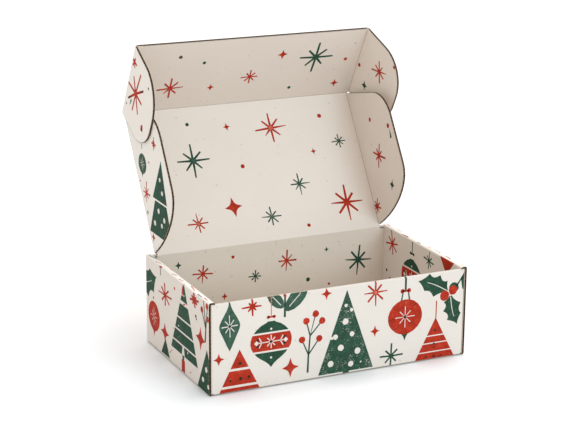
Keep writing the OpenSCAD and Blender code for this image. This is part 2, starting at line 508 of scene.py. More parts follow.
def ink_material(name, ink, wear):
    material, t, shader, place = new_material(name, 0.07)
    film = t.group(WORN_INK, Vector=place, Ink=(*ink, 1), Paper=(*LINER, 1), Wear=wear)
    finish_surface(t, shader, film["Color"], film["Roughness"], film["Height"], INK_BUMP)
    return material


def bare_paper_material(name, tint):
    """Liner without ink, of one tint."""
    material, t, shader, place = new_material(name, 0.28, 0.05)
    paper = t.group(LINER_PAPER, Vector=place, Tint=(*tint, 1))
    finish_surface(t, shader, paper["Color"], paper["Roughness"], paper["Height"], PAPER_BUMP)
    return material


ACROSS_STREAKS = (0.05, 1.6, 1.6)
# Tints per board paint light and shade into the liner: paler ears and dust flaps, a paler inner
# face on the lid and a darker one on the tuck flap
BOARDS = {
    "tray": board_material(
        "tray_board_paper",
        PLAIN,
        PLAIN,
        (0.06, 0.06, 1.5),
        tray_raw,
        tray_creases,
        # Wide, strong line at the foot: a painted contact shadow
        (0.0011, 0.85),
    ),
    "lid": board_material(
        "lid_board_paper",
        PLAIN,
        # Paler inner face of the lid: painted light
        (1.045, 1.05, 1.09),
        ACROSS_STREAKS,
        flap_raw(LID_CREASE, OUT_OF_LID, UP_LID, X_AXIS),
        lines_at((TUCK_CREASE, UP_LID), *((dust_crease(side), X_AXIS) for side in SIDES)),
    ),
    "tuck_flap": board_material(
        "tuck_board_paper",
        PLAIN,
        # Darker inner face of the tuck flap: painted shade
        (0.925, 0.91, 0.935),
        ACROSS_STREAKS,
        flap_raw(TUCK_CREASE, OUT_OF_TUCK, UP_TUCK, X_AXIS),
        lines_at((TUCK_CREASE, UP_TUCK), *((ear_crease(side), X_AXIS) for side in SIDES)),
    ),
}
for side in SIDES:
    ear_at, ear_way = ear_crease(side), ear_reach_way(side)
    # Paler tints on both faces of the ears: painted light
    BOARDS[f"tuck_ear_{side}"] = board_material(
        f"ear_board_paper_{side}",
        (1.11, 1.14, 1.16),
        (1.03, 1.04, 1.08),
        PLAIN,
        flap_raw(ear_at, ear_inner_way(side), ear_way, UP_TUCK, EAR_REACH, 36.0),
        lines_at((ear_at, ear_way)),
    )
    dust_at, dust_out = dust_crease(side), -X_AXIS * SIDE_SIGN[side]
    # Paler tints on both faces of the dust flaps: painted light
    BOARDS[f"dust_flap_{side}"] = board_material(
        f"dust_board_paper_{side}",
        (1.11, 1.15, 1.17),
        (1.0, 1.01, 1.05),
        PLAIN,
        flap_raw(dust_at, dust_out, OUT_OF_LID, UP_LID, DUST_REACH, 57.0),
        lines_at((dust_at, OUT_OF_LID)),
    )
INKS = {ink: ink_material(f"{ink}_ink", INK_COLOUR[ink], INK_WEAR[ink]) for ink in INK_COLOUR}
INKS["white"] = bare_paper_material("bare_liner", LINER)
INKS["edge_dash"] = bare_paper_material("edge_dash_liner", EDGE_DASH_COLOUR)
# Crease skins: liner darkened as painted shade
CREASE_SHADE_PAPER = bare_paper_material("crease_liner_shade", LINER_SHADE)

for name, material in BOARDS.items():
    shape = frame["nodes"][name]
    for slot in shape.material_slots:
        slot.material = material

# Printed shapes, drawn in millimetres on a flat panel


def new_sheet():
    """Flat fields of ink on one panel, by ink."""
    return {ink: bmesh.new() for ink in INK_PROUD}


def spot(across, up, size=1.0, turn=0.0, wide=1.0):
    place = Matrix.Translation((across, up, 0)) @ Matrix.Rotation(math.radians(turn), 4, "Z")
    return place @ Matrix.Diagonal((size * wide, size, 1, 1))


def field(film, outline, at=HERE):
    """One field of ink inside an outline."""
    return film.faces.new([film.verts.new(at @ Vector((x, y, 0))) for x, y in outline])


def cut_field(film, outline, at, low, high):
    """What lies between two level lines of a field."""
    face = field(film, outline, at)
    parts = [face, *face.edges, *face.verts]
    for height, way in ((low, -1), (high, 1)):
        if not parts:
            return
        foot = at @ Vector((0, height, 0))
        out = (at.to_3x3() @ Vector((1, 0, 0))).cross(Vector((0, 0, -1))) * way
        parts = bmesh.ops.bisect_plane(
            film, geom=parts, plane_co=foot, plane_no=out, clear_outer=True, dist=1e-5
        )["geom"]


def both_sides(profile):
    """Closed outline from its right half, given from top to bottom."""
    return list(profile) + [(-x, y) for x, y in reversed(profile) if abs(x) > 1e-6]


def dot(sheet, ink, at, radius, seed=0):
    ring = bmesh.ops.create_circle(
        sheet[ink], cap_ends=True, segments=14, radius=radius, matrix=at
    )["verts"]
    shake = random.Random(seed)
    centre = at.translation
    for corner in ring:
        corner.co = centre + (corner.co - centre) * shake.uniform(0.93, 1.06)


def dots(sheet, ink, places, at=HERE):
    for across, up, radius in places:
        dot(sheet, ink, at @ spot(across, up), radius, int(up))


def burst(sheet, ink, at, long, short=None, core=0.18, tip=None, seed=1):
    """Star of eight uneven rays, most of them blunt, some running out thin."""
    shake = random.Random(seed)
    short = long * 0.76 if short is None else short
    tip = 1.12 + 0.042 * long if tip is None else tip
    outline = []
    for ray in range(8):
        angle = math.radians(45 * ray + shake.uniform(-2.5, 2.5))
        length = (short if ray % 2 else long) * shake.uniform(0.84, 1.06)
        half = tip / 2 * (0.45 if shake.random() < 0.15 else shake.uniform(0.85, 1.08))
        along = Vector((math.cos(angle), math.sin(angle)))
        aside = Vector((-math.sin(angle), math.cos(angle)))
        outline += [along * length - aside * half, along * length + aside * half]
        between = math.radians(45 * ray + 22.5)
        outline.append((core * long * math.cos(between), core * long * math.sin(between)))
    field(sheet[ink], outline, at)


def star_of(sheet, ink, at, ends, core, tip):
    """Star whose rays run to the listed ends, given in their order round it."""
    outline = []
    for end, following in zip(ends, ends[1:] + ends[:1]):
        end, following = Vector(end), Vector(following)
        aside = end.orthogonal().normalized() * tip / 2
        notch = (end.normalized() + following.normalized()).normalized() * core
        outline += [end - aside, end + aside, notch]
    field(sheet[ink], outline, at)


def four_point(sheet, ink, at, size, wide=0.9):
    """Star of four points with hollow sides."""
    hollow = 0.6
    made = bmesh.ops.create_circle(sheet[ink], cap_ends=True, segments=16, radius=1.0)
    for corner in made["verts"]:
        x, y = corner.co.x, corner.co.y
        pull = size / (abs(x) ** hollow + abs(y) ** hollow) ** (1 / hollow)
        corner.co = at @ Vector((x * pull * wide, y * pull, 0))


def diamond(sheet, ink, at, size):
    field(sheet[ink], [(size, 0), (0, size), (-size, 0), (0, -size)], at)


def stroke(sheet, ink, start, end, width, end_width=None, at=HERE):
    """Short straight line of ink."""
    start, end = Vector(start), Vector(end)
    aside = (end - start).orthogonal().normalized() / 2
    last = width if end_width is None else end_width
    outline = [start - aside * width, end - aside * last]
    outline += [end + aside * last, start + aside * width]
    field(sheet[ink], outline, at)


def way_of(degrees):
    return Vector((math.cos(math.radians(degrees)), math.sin(math.radians(degrees))))


def snow(sheet, ink, at, long, short, hub=1.2, width=0.75):
    """Eight separate rays round an open middle."""
    for ray in range(8):
        way = way_of(45 * ray)
        length = short if ray % 2 else long
        stroke(sheet, ink, way * hub, way * length, width * 0.7, width, at)


def tree(sheet, ink, at, wide, tall, bands=(), trunk=0.0):
    """Pointed tree, cut across by open bands, with its foot at the origin."""
    levels = [0.0]
    for middle, thick in bands:
        levels += [middle - thick / 2, middle + thick / 2]
    levels.append(tall)
    for low, high in zip(levels[::2], levels[1::2]):
        cut_field(sheet[ink], [(-wide / 2, 0), (wide / 2, 0), (0, tall)], at, low, high)
    if trunk:
        half, foot = trunk / 2, -trunk * 0.7
        field(sheet[ink], [(-half, foot), (half, foot), (half, 0), (-half, 0)], at)


# Right halves of the hanging ornaments, from top to bottom
DROP = [(0.4, 21.0), (1.0, 17.0), (2.6, 13.2), (4.7, 9.6), (6.8, 6.0), (8.5, 2.4), (9.0, 0.0)]
DROP += [(8.5, -2.6), (7.3, -5.4), (5.8, -8.6), (4.0, -12.6), (2.1, -16.8), (0.0, -20.9)]
BAUBLE = [(0.0, 17.0), (3.3, 17.0), (3.7, 16.2), (8.6, 14.2), (12.6, 11.1), (15.0, 8.3)]
BAUBLE += [(16.6, 6.0), (17.7, 2.5), (17.9, -1.0), (17.0, -4.6), (15.3, -7.4), (14.4, -8.6)]
BAUBLE += [(12.2, -11.2), (8.8, -13.9), (5.2, -16.2), (2.3, -18.6), (0.0, -21.5)]
BALL = [(0.0, 15.0), (4.0, 14.6), (8.0, 13.0), (11.6, 10.1), (14.4, 6.2), (15.7, 2.0)]
BALL += [(15.7, -2.0), (14.5, -6.0), (12.0, -9.6), (8.2, -12.8), (4.0, -14.6), (0.0, -15.0)]
LEAF = [(0.0, 1.0), (0.27, 0.84), (0.46, 0.62), (0.50, 0.40), (0.40, 0.20), (0.18, 0.05)]
LEAF += [(0.0, 0.0)]


def drop(sheet, ink, at):
    """Long pointed hanging ornament with an open star."""
    field(sheet[ink], both_sides(DROP), at)
    snow(sheet, "white", at @ spot(0, 0, 1.2, 2, wide=0.76), 7.6, 5.8, 1.1, 0.8)
    dot(sheet, "dark", at, 1.1)


def bauble(sheet, at, top="green", belt="red"):
    """Round hanging ornament: a dome, a belt and a pointed foot."""
    for ink, low, high in ((top, 8.2, 18.0), (belt, -7.2, 6.7), (top, -22.0, -8.7)):
        cut_field(sheet[ink], both_sides(BAUBLE), at, low, high)
    dot(sheet, "white", at @ spot(0, 10.6), 0.9)
    dot(sheet, "white", at @ spot(0, -13.4), 0.9)
    snow(sheet, "white", at, 5.5, 4.8, 1.2, 0.95)
    dot(sheet, "dark", at, 1.2)
    for side in (-1, 1):
        beside = at @ spot(side * 8.0, 0)
        for rise in (-1, 1):
            stroke(sheet, "white", (0, 0), (side * 2.4, rise * 4.2), 0.85, at=beside)
            diamond(sheet, "dark", beside @ spot(side * 3.6, rise * 2.7), 1.5)
        diamond(sheet, "white", beside @ spot(side * 4.6, 0), 2.1)
        stroke(sheet, "white", (-side * 2.8, 0), (side * 3, 0), 0.8, at=beside)


def ball(sheet, at, ink="red", tip="green"):
    """Round hanging ornament with a star, thin facet lines and a tip."""
    field(sheet[ink], both_sides(BALL), at)
    snow(sheet, "white", at, 9.0, 7.0, 1.4, 0.75)
    dot(sheet, "dark", at, 1.3)
    for ray in range(8):
        way = way_of(45 * ray + 4)
        inner = 9.8 if ray % 2 == 0 else 8.4
        stroke(sheet, "dark", way * inner, way * 14.2, 0.16, 0.42, at)
    field(sheet[tip], [(-3.2, -14.4), (3.2, -14.4), (1.2, -17.2), (0, -20.6), (-1.2, -17.2)], at)


def leaf(sheet, at, long, wide):
    """Plain leaf with an open rib, from its stalk at the origin."""
    field(sheet["sage"], both_sides([(x * wide, y * long) for x, y in LEAF]), at)
    stroke(sheet, "white", (0, long * 0.16), (0, long * 0.64), 0.75, 0.5, at)


# Spines down the two sides of a holly leaf of length one, from its tip
HOLLY_SIDES = (
    [(0.0, 1.0), (0.26, 0.73), (0.31, 0.40), (0.23, 0.12), (0.03, 0.0)],
    [(0.0, 1.0), (0.18, 0.70), (0.25, 0.36), (0.05, 0.02)],
)


def scalloped(spines):
    """Hollow curves from spine to spine."""
    points = [spines[0]]
    for (x0, y0), (x2, y2) in zip(spines, spines[1:]):
        x1, y1 = (x0 + x2) * 0.22, (y0 + y2) / 2
        for share in (0.25, 0.5, 0.75, 1.0):
            ends, middle = (1 - share) ** 2, 2 * share * (1 - share)
            x = x0 * ends + x1 * middle + x2 * share**2
            points.append((x, y0 * ends + y1 * middle + y2 * share**2))
    return points


def holly(sheet, at, long, wide):
    """Spiny leaf with an open rib, from its stalk at the origin."""
    right, left = (scalloped(spines) for spines in HOLLY_SIDES)
    outline = right + [(-x, y) for x, y in reversed(left[1:])]
    field(sheet["green"], [(x * long * wide, y * long) for x, y in outline], at)
    rib = ((0.0, 0.03), (0.034, 0.3), (0.05, 0.5), (0.044, 0.71))
    bends = [(x * long, y * long) for x, y in rib]
    for start, end, width in zip(bends, bends[1:], (0.75, 0.7, 0.55)):
        stroke(sheet, "white", start, end, width, width - 0.1, at)


def sprig(sheet, at, tall=49.0):
    """Berry sprig: a stem, four branches and five berries."""
    ends = [(6.6, 48.9), (-1.6, 43.9), (12.4, 42.4), (-5.3, 28.6), (10.0, 27.8)]
    forks = [(1.9, 31.0), (1.9, 31.0), (1.9, 31.0), (0.6, 15.2), (0.6, 15.2)]
    share = tall / 49.0
    stroke(sheet, "green", (0, 0), (0.6 * share, 15.4 * share), 1.7, 1.5, at)
    stroke(sheet, "green", (0.6 * share, 15.0 * share), (1.9 * share, 31.4 * share), 1.5, 1.2, at)
    for number, (end, fork) in enumerate(zip(ends, forks)):
        end, fork = Vector(end) * share, Vector(fork) * share
        ink, width = ("green", 1.2) if number else ("sage", 0.5)
        stroke(sheet, ink, fork, end, width, 1.0, at)
        dot(sheet, "red", at @ spot(*end), 2.9 * share**0.5, number)


def hanger(sheet, ink, at, tall, width=0.8, cap="red"):
    """String with a small cap bar at its foot."""
    stroke(sheet, ink, (0, 0), (0, tall), width, at=at)
    for side in (-1, 1):
        dot(sheet, cap, at @ spot(side * 2.6, 0), 1.35, side + 3)
    stroke(sheet, cap, (-2.8, 0), (2.8, 0), 1.5, at=at)


# Panels, and how a flat film is laid on them


def over_fold(up, out, low, high, strip):
    """Place across the wall and height of a point on a wall that is rounded at
    its foot and rolls over at its top."""
    quarter = BOARD * math.pi / 2
    if up < low:
        angle = (low - up) / BOARD
        return BOARD - (BOARD + out) * math.cos(angle), low - (BOARD + out) * math.sin(angle)
    if up <= high:
        return -out, up
    if up <= high + quarter:
        angle = (up - high) / BOARD
        return BOARD - (BOARD + out) * math.cos(angle), high + (BOARD + out) * math.sin(angle)
    up -= quarter
    if up <= high + strip:
        return BOARD + up - high, high + BOARD + out
    up -= strip
    if up <= high + quarter:
        angle = (up - high) / BOARD
        inward = BOARD + strip + (BOARD + out) * math.sin(angle)
        return inward, high + (BOARD + out) * math.cos(angle)
    return 2 * BOARD + strip + out, 2 * high + quarter - up


def front_wall_face(across, up, out):
    inward, height = over_fold(up, out, BOARD, FRONT_TOP - BOARD, PLY_GAP)
    return Vector((across, -HALF_DEPTH + inward, height)) * MM


def side_wall_face(side):
    sign = SIDE_SIGN[side]

    def face(across, up, out):
        inward, height = over_fold(up, out, BOARD, HEIGHT - BOARD, SIDE_STRIP)
        return Vector((sign * (HALF_WIDTH - inward), sign * across, height)) * MM

    return face


def fold_cuts(high, strip):
    """Heights at which a film is cut so that it follows the rounded folds."""
    step = BOARD * math.pi / 8
    foot = [BOARD - step * count for count in range(4)]
    top = [high + step * count for count in range(5)]
    return foot + top + [high + 4 * step + strip + step * count for count in range(5)]


def box_outline(left, right, low, high):
    return [(left, low), (right, low), (right, high), (left, high)]


def arc_points(cx, cy, rx, ry, start, end):
    steps = 10
    points = []
    for count in range(steps + 1):
        angle = math.radians(start + (end - start) * count / steps)
        points.append((cx + rx * math.cos(angle), cy + ry * math.sin(angle)))
    return points


def ear_outline():
    width = TUCK_LENGTH - RELIEF
    end, inner, outer = 0.53 * EAR_REACH, 0.41 * width, 0.44 * width
    points = [(0.3, RELIEF)]
    points += arc_points(EAR_REACH - end, RELIEF + inner, end, inner, -90, 0)
    points += arc_points(EAR_REACH - end, TUCK_LENGTH - outer, end, outer, 0, 90)
    return points + [(0.3, TUCK_LENGTH)]


def dust_outline():
    points = arc_points(0, BOARD + RELIEF + 33.0, DUST_REACH, 33.0, -90, 0)
    points += arc_points(DUST_REACH - 32.0, DUST_END - 48.0, 32.0, 32.0, 0, 65)
    return points + [(0.3, DUST_END)]


def all_parts(film):
    return film.verts[:] + film.edges[:] + film.faces[:]


def clipped(film, outline, inset):
    """Cuts every field of a film along a hollow-free outline."""
    for here, there in zip(outline, outline[1:] + outline[:1]):
        here, there = Vector(here), Vector(there)
        parts = all_parts(film)
        if (there - here).length < 1e-4 or not parts:
            continue
        out = Vector((there.y - here.y, here.x - there.x, 0)).normalized()
        foot = Vector((*here, 0)) - out * inset
        bmesh.ops.bisect_plane(
            film, geom=parts, plane_co=foot, plane_no=out, clear_outer=True, dist=1e-5
        )


def point_along(path, distance):
    """Point at a distance along a path of straight pieces, or its end."""
    for here, there in zip(path, path[1:]):
        piece = (there - here).length
        if distance < piece:
            return here.lerp(there, distance / piece)
        distance -= piece
    return path[-1]


def dash_cut_edge(sheet, outline):
    """Slanting dark brown dashes on the liner along a cut edge, two at each flute.
    They keep clear of the creases at its two ends."""
    path = [Vector(point) for point in outline]
    long = sum((there - here).length for here, there in zip(path, path[1:]))
    for count in range(2, int(long / FLUTE_PITCH * 2) - 2):
        start = count * FLUTE_PITCH / 2
        first, last = point_along(path, start), point_along(path, start + EDGE_DASH_LONG)
        slant = (first - last).orthogonal().normalized() * EDGE_DASH_SLANT
        stroke(sheet, "edge_dash", first - slant, last + slant, EDGE_DASH_WIDE)


def lay_print(name, sheet, face, outline, body, cuts=(), inset=STRAIGHT_INSET):
    """Lays the fields of ink of one panel on its face, as thin closed films."""
    whole = bmesh.new()
    used = []
    for ink, film in sheet.items():
        clipped(film, outline, EDGE_DASH_INSET if ink == "edge_dash" else inset)
        if not film.faces:
            film.free()
            continue
        for height in cuts:
            bmesh.ops.bisect_plane(
                film, geom=all_parts(film), plane_co=(0, height, 0), plane_no=(0, 1, 0), dist=1e-5
            )
        bmesh.ops.translate(film, verts=film.verts[:], vec=(0, 0, -INK_SUNK))
        grown = bmesh.ops.extrude_face_region(film, geom=film.faces[:])["geom"]
        risen = [part for part in grown if isinstance(part, bmesh.types.BMVert)]
        bmesh.ops.translate(film, verts=risen, vec=(0, 0, INK_SUNK + INK_PROUD[ink]))
        bmesh.ops.recalc_face_normals(film, faces=film.faces[:])
        for corner in film.verts:
            corner.co = face(*corner.co)
        for part in film.faces:
            part.material_index = len(used)
        used.append(ink)
        layer = bpy.data.meshes.new("ink_layer")
        film.to_mesh(layer)
        film.free()
        whole.from_mesh(layer)
        bpy.data.meshes.remove(layer)
    made = new_piece(name, whole, [INKS[ink] for ink in used])
    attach(made, body)
    return made


def lay_flat(name, sheet, plane, outline, body="tray", inset=STRAIGHT_INSET):
    def face(across, up, out):
        return plane @ Vector((across, up, out))

    lay_print(name, sheet, face, outline, body, inset=inset)


def new_piece(name, mesh_maker, materials):
    mesh = bpy.data.meshes.new(name)
    mesh_maker.to_mesh(mesh)
    mesh_maker.free()
    for material in materials:
        mesh.materials.append(material)
    made = bpy.data.objects.new(name, mesh)
    bpy.context.scene.collection.objects.link(made)
    return made


# Patterns for the faces that the photo hides


def circles_clear(placed, across, up, radius):
    return all(math.hypot(across - x, up - y) > (radius + r) * 0.93 for x, y, r in placed)


def scattered(outline_box, kinds, seed):
    """Finds room for the listed kinds, each with its own radius, and gives
    their places."""
    left, right, low, high = outline_box
    pick = random.Random(seed)
    taken = []
    found = []
    for kind, radius in kinds:
        edge = radius * 0.45
        for _ in range(160):
            across = pick.uniform(left + edge, right - edge)
            up = pick.uniform(low + edge, high - edge)
            if circles_clear(taken, across, up, radius):
                taken.append((across, up, radius))
                found.append((kind, across, up, radius, pick.uniform(-6, 6), pick.randrange(99)))
                break
    return found


def draw_scattered(sheet, found, turn=0.0):
    """Draws what was scattered, each shape filling its circle."""
    for kind, across, up, radius, lean, seed in found:
        at = spot(across, up, turn=turn + lean * 0.5)
        foot = at @ spot(0, -radius * 0.9)
        if kind == "tree":
            tree(sheet, "green", foot, radius * 1.15, radius * 1.85, trunk=radius * 0.22)
            for number in range(7):
                rise = 0.16 + 0.2 * number
                aside = radius * 0.5 * (0.9 - rise * 0.55) * (-0.62 if number % 2 else 0.5)
                dot(sheet, "white", foot @ spot(aside, rise * radius), radius * 0.075, number)
        elif kind == "banded_tree":
            rungs = [(radius * share, radius * 0.07) for share in (0.35, 0.7, 1.05)]
            tree(sheet, "red", foot, radius * 1.1, radius * 1.8, rungs)
            for rise, aside in ((0.17, -0.22), (0.17, 0.2), (0.52, 0.0), (0.87, 0.06), (1.3, 0.0)):
                dot(sheet, "dark", foot @ spot(aside * radius, rise * radius), radius * 0.045, 2)
        elif kind == "striped_tree":
            rungs = [(radius * share, radius * 0.06) for share in (0.3, 0.62, 0.94, 1.3)]
            tree(sheet, "green", foot, radius * 1.3, radius * 1.9, rungs, trunk=radius * 0.15)
        elif kind == "bauble":
            size = radius / 22.0
            inks = ("green", "red") if seed % 2 else ("red", "green")
            bauble(sheet, at @ Matrix.Scale(size, 4), *inks)
            hanger(sheet, "green", at @ spot(0, 19.2 * size), radius * 0.5, 0.8)
        elif kind == "ball":
            size = radius / 20.0
            inks = ("green", "red") if seed % 3 == 0 else ("red", "green")
            ball(sheet, at @ Matrix.Scale(size, 4), *inks)
            hanger(sheet, "green", at @ spot(0, 16.4 * size), radius * 0.55, 1.0)
        elif kind == "drop":
            drop(sheet, "red" if seed % 2 else "green", at @ Matrix.Scale(radius / 21.0, 4))
        elif kind == "sprig":
            sprig(sheet, at @ spot(-1.5, -radius), radius * 1.8)
        elif kind == "holly":
            for angle, long in ((52, 0.95), (-58, 0.9)):
                holly(sheet, at @ spot(0, -radius * 0.25, turn=angle), radius * long, 1.2)
            dot(sheet, "red", at @ spot(-radius * 0.13, -radius * 0.3), radius * 0.2, 1)
            dot(sheet, "red", at @ spot(radius * 0.2, -radius * 0.42), radius * 0.19, 2)
        elif kind == "leaves":
            stroke(sheet, "green", (0, -radius), (0, 0), 1.3, 1.0, at)
            for angle in (48, -42):
                stalk = at @ spot(0, -radius * 0.3, turn=angle)
                leaf(sheet, stalk, radius * 1.15, radius * 0.62)
        else:
            ink, shape = kind.split("_")
            if shape == "burst":
                burst(sheet, ink, at @ spot(0, 0, turn=lean), radius, radius * 0.75, seed=seed)
            elif shape == "star":
                four_point(sheet, ink, at, radius)
            else:
                dot(sheet, ink, at, radius * 0.5, seed)


OUTER_KINDS = [("striped_tree", 26), ("bauble", 20), ("tree", 24), ("ball", 17)]
OUTER_KINDS += [("banded_tree", 19), ("drop", 18), ("sprig", 20), ("holly", 15), ("bauble", 17)]
OUTER_KINDS += [("tree", 18), ("leaves", 12), ("ball", 15)]
OUTER_SMALL = [("red_burst", 10), ("green_burst", 9), ("holly", 12), ("red_burst", 9)]
OUTER_SMALL += [("drop", 14), ("red_burst", 8)]
OUTER_SMALL += [("green_burst", 8), ("leaves", 9), ("red_burst", 7)] * 2
OUTER_FILL = [("red_star", 6), ("red_star", 5), ("green_star", 4), ("red_star", 4)]
OUTER_FILL = (OUTER_FILL + [("green_dot", 3), ("red_dot", 3)]) * 4
INNER_KINDS = [("red_burst", 14), ("green_burst", 13), ("red_burst", 10), ("green_burst", 10)]
INNER_KINDS = (INNER_KINDS + [("red_burst", 8)]) * 2
INNER_FILL = [("red_star", 7), ("green_dot", 4), ("red_star", 5), ("red_dot", 4)]
INNER_FILL = (INNER_FILL + [("green_burst", 7), ("green_star", 5)]) * 4


def outer_pattern(sheet, area, seed, turn=0.0, kinds=OUTER_KINDS):
    draw_scattered(sheet, scattered(area, kinds + OUTER_SMALL + OUTER_FILL, seed), turn)


def inner_pattern(sheet, area, seed):
    """Sparse stars and dots: each takes twice its own room."""
    roomy = [(kind, radius * 1.75 + 4) for kind, radius in INNER_KINDS + INNER_FILL]
    found = scattered(area, roomy, seed)
    draw_scattered(sheet, [(k, x, y, (r - 4) / 1.75, lean, s) for k, x, y, r, lean, s in found])


def draw_listed(sheet, listed, turn=0.0):
    """Draws a list of stars and dots: kind, ink, place, size. Bursts in a pale
    ink have thin rays in the full ink round a pale hub."""
    for number, (kind, ink, across, up, size) in enumerate(listed):
        at = spot(across, up, turn=turn)
        if kind == "star":
            four_point(sheet, ink, at, size)
        elif kind == "dot":
            dot(sheet, ink, at, size, number)
        else:
            rays = {"sage": "green", "rose": "red"}.get(ink, ink)
            tip = None if rays == ink else 1.0 + 0.022 * size
            uneven = at @ spot(0, 0, turn=-4 + number % 3)
            burst(sheet, rays, uneven, size, tip=tip, seed=number)
            if rays != ink:
                dot(sheet, ink, at, size * 0.15, number)


# Front wall


def print_front_wall():
    sheet = new_sheet()
    drop(sheet, "sage", spot(-97.5, 55.7, 0.99))
    burst(sheet, "red", spot(-78.2, 69.2), 9.0, 5.2, core=0.26, tip=1.2, seed=4)
    hanger(sheet, "rose", spot(-62.0, 58.6), 18.5)
    bauble(sheet, spot(-62.0, 38.0))
    stroke(sheet, "green", (-50.3, 56.6), (-50.2, 74.6), 1.8, 1.5)
    stroke(sheet, "red", (-50.2, 73.6), (-50.0, 79.0), 2.4, 3.0)
    leaf(sheet, spot(-51.5, 64.5, turn=42), 22.0, 10.0)
    leaf(sheet, spot(-49.8, 61.6, turn=-45), 30.0, 12.5)
    four_point(sheet, "red", spot(-106.8, 29.4), 5.2)
    four_point(sheet, "red", spot(-45.1, 13.4), 8.3)
    four_point(sheet, "red", spot(-13.8, 71.0), 5.2)
    four_point(sheet, "red", spot(30.4, 32.9), 5.0, 0.85)
    tree(sheet, "red", spot(-89.1, -1.2), 37.0, 36.6, [(6.2, 2.0), (20.2, 2.0)])
    places = [(-88.6, 23.6, 1.4), (-88.2, 11.0, 1.6), (-96.8, 10.2, 1.0), (-81.0, 11.4, 1.3)]
    dots(sheet, "dark", places)
    sprig(sheet, spot(-29.8, 6.6))
    tree(sheet, "speckled", spot(4.5, 2.4), 49.6, 69.3, trunk=5.6)
    dot(sheet, "white", spot(11.4, 56.2), 1.2, 31)
    dot(sheet, "white", spot(-8.6, 32.6), 1.4, 32)
    places = [(3.7, 58.7, 1.4), (8.8, 54.4, 1.5), (3.5, 45.1, 2.7), (-5.4, 33.1, 2.3)]
    places += [(9.6, 33.9, 2.2), (-0.3, 23.3, 2.7), (14.8, 18.5, 2.7), (9.0, 8.2, 2.5)]
    places += [(-9.3, 10.7, 2.7), (18.0, 8.6, 0.8)]
    for number, (across, up, radius) in enumerate(places):
        dot(sheet, "white", spot(across, up), radius, number)
    burst(sheet, "red", spot(30.3, 66.0, turn=2), 11.6, 9.6, seed=9)
    dot(sheet, "rose", spot(30.3, 66.0), 1.5, 2)
    burst(sheet, "green", spot(45.8, 9.2, turn=-1), 10.8, 7.8, seed=6)
    stroke(sheet, "green", (57.9, 62.6), (57.9, 79.0), 1.8)
    for side in (-1, 1):
        dot(sheet, "red", spot(58.0 + side * 3.0, 63.6), 1.9, side + 7)
        stroke(sheet, "sage", (side * 3.7, -1.4), (side * 2.6, 4.8), 1.4, 1.2, spot(58.0, 57.0))
    stroke(sheet, "red", (-3, 0), (3, 0), 1.6, at=spot(58.0, 63.6))
    ball(sheet, spot(58.0, 41.2))
    tree(sheet, "red", spot(86.8, -1.2), 38.8, 37.8, [(8.2, 1.0), (15.8, 1.0), (22.2, 1.1)])
    stroke(sheet, "red", (0, 0), (0.2, 15.0), 0.9, 1.0, spot(87.0, 36.0))
    places = [(86.4, 25.6, 1.1), (86.0, 13.9, 0.9), (86.0, 10.8, 0.9), (78.6, 3.2, 1.0)]
    dots(sheet, "dark", places + [(86.0, 2.6, 1.2), (92.6, 2.6, 0.9)])
    holly(sheet, spot(97.2, 58.4, turn=67), 30.2, 1.12)
    holly(sheet, spot(100.0, 53.6, turn=196), 26.6, 1.16)
    dot(sheet, "green", spot(103.3, 60.3), 4.5, 5)
    dot(sheet, "red", spot(94.5, 54.3), 4.4, 6)
    dot(sheet, "red", spot(102.4, 58.2), 4.1, 8)
    stroke(sheet, "green", (105.8, 61.4), (112.8, 71.4), 1.4, 1.2)
    field(sheet["green"], [(109.6, 67.6), (111.2, 58.4), (113.0, 57.4), (113.0, 73.0)])
    outline = box_outline(-CORNER_X - 1.0, CORNER_X + 1.0, FILM_FOOT, FRONT_TOP + 0.8)
    cuts = fold_cuts(FRONT_TOP - BOARD, PLY_GAP)
    lay_print("print_front_wall", sheet, front_wall_face, outline, "tray", cuts)


# Side walls: the print rolls over the top on to the inner ply


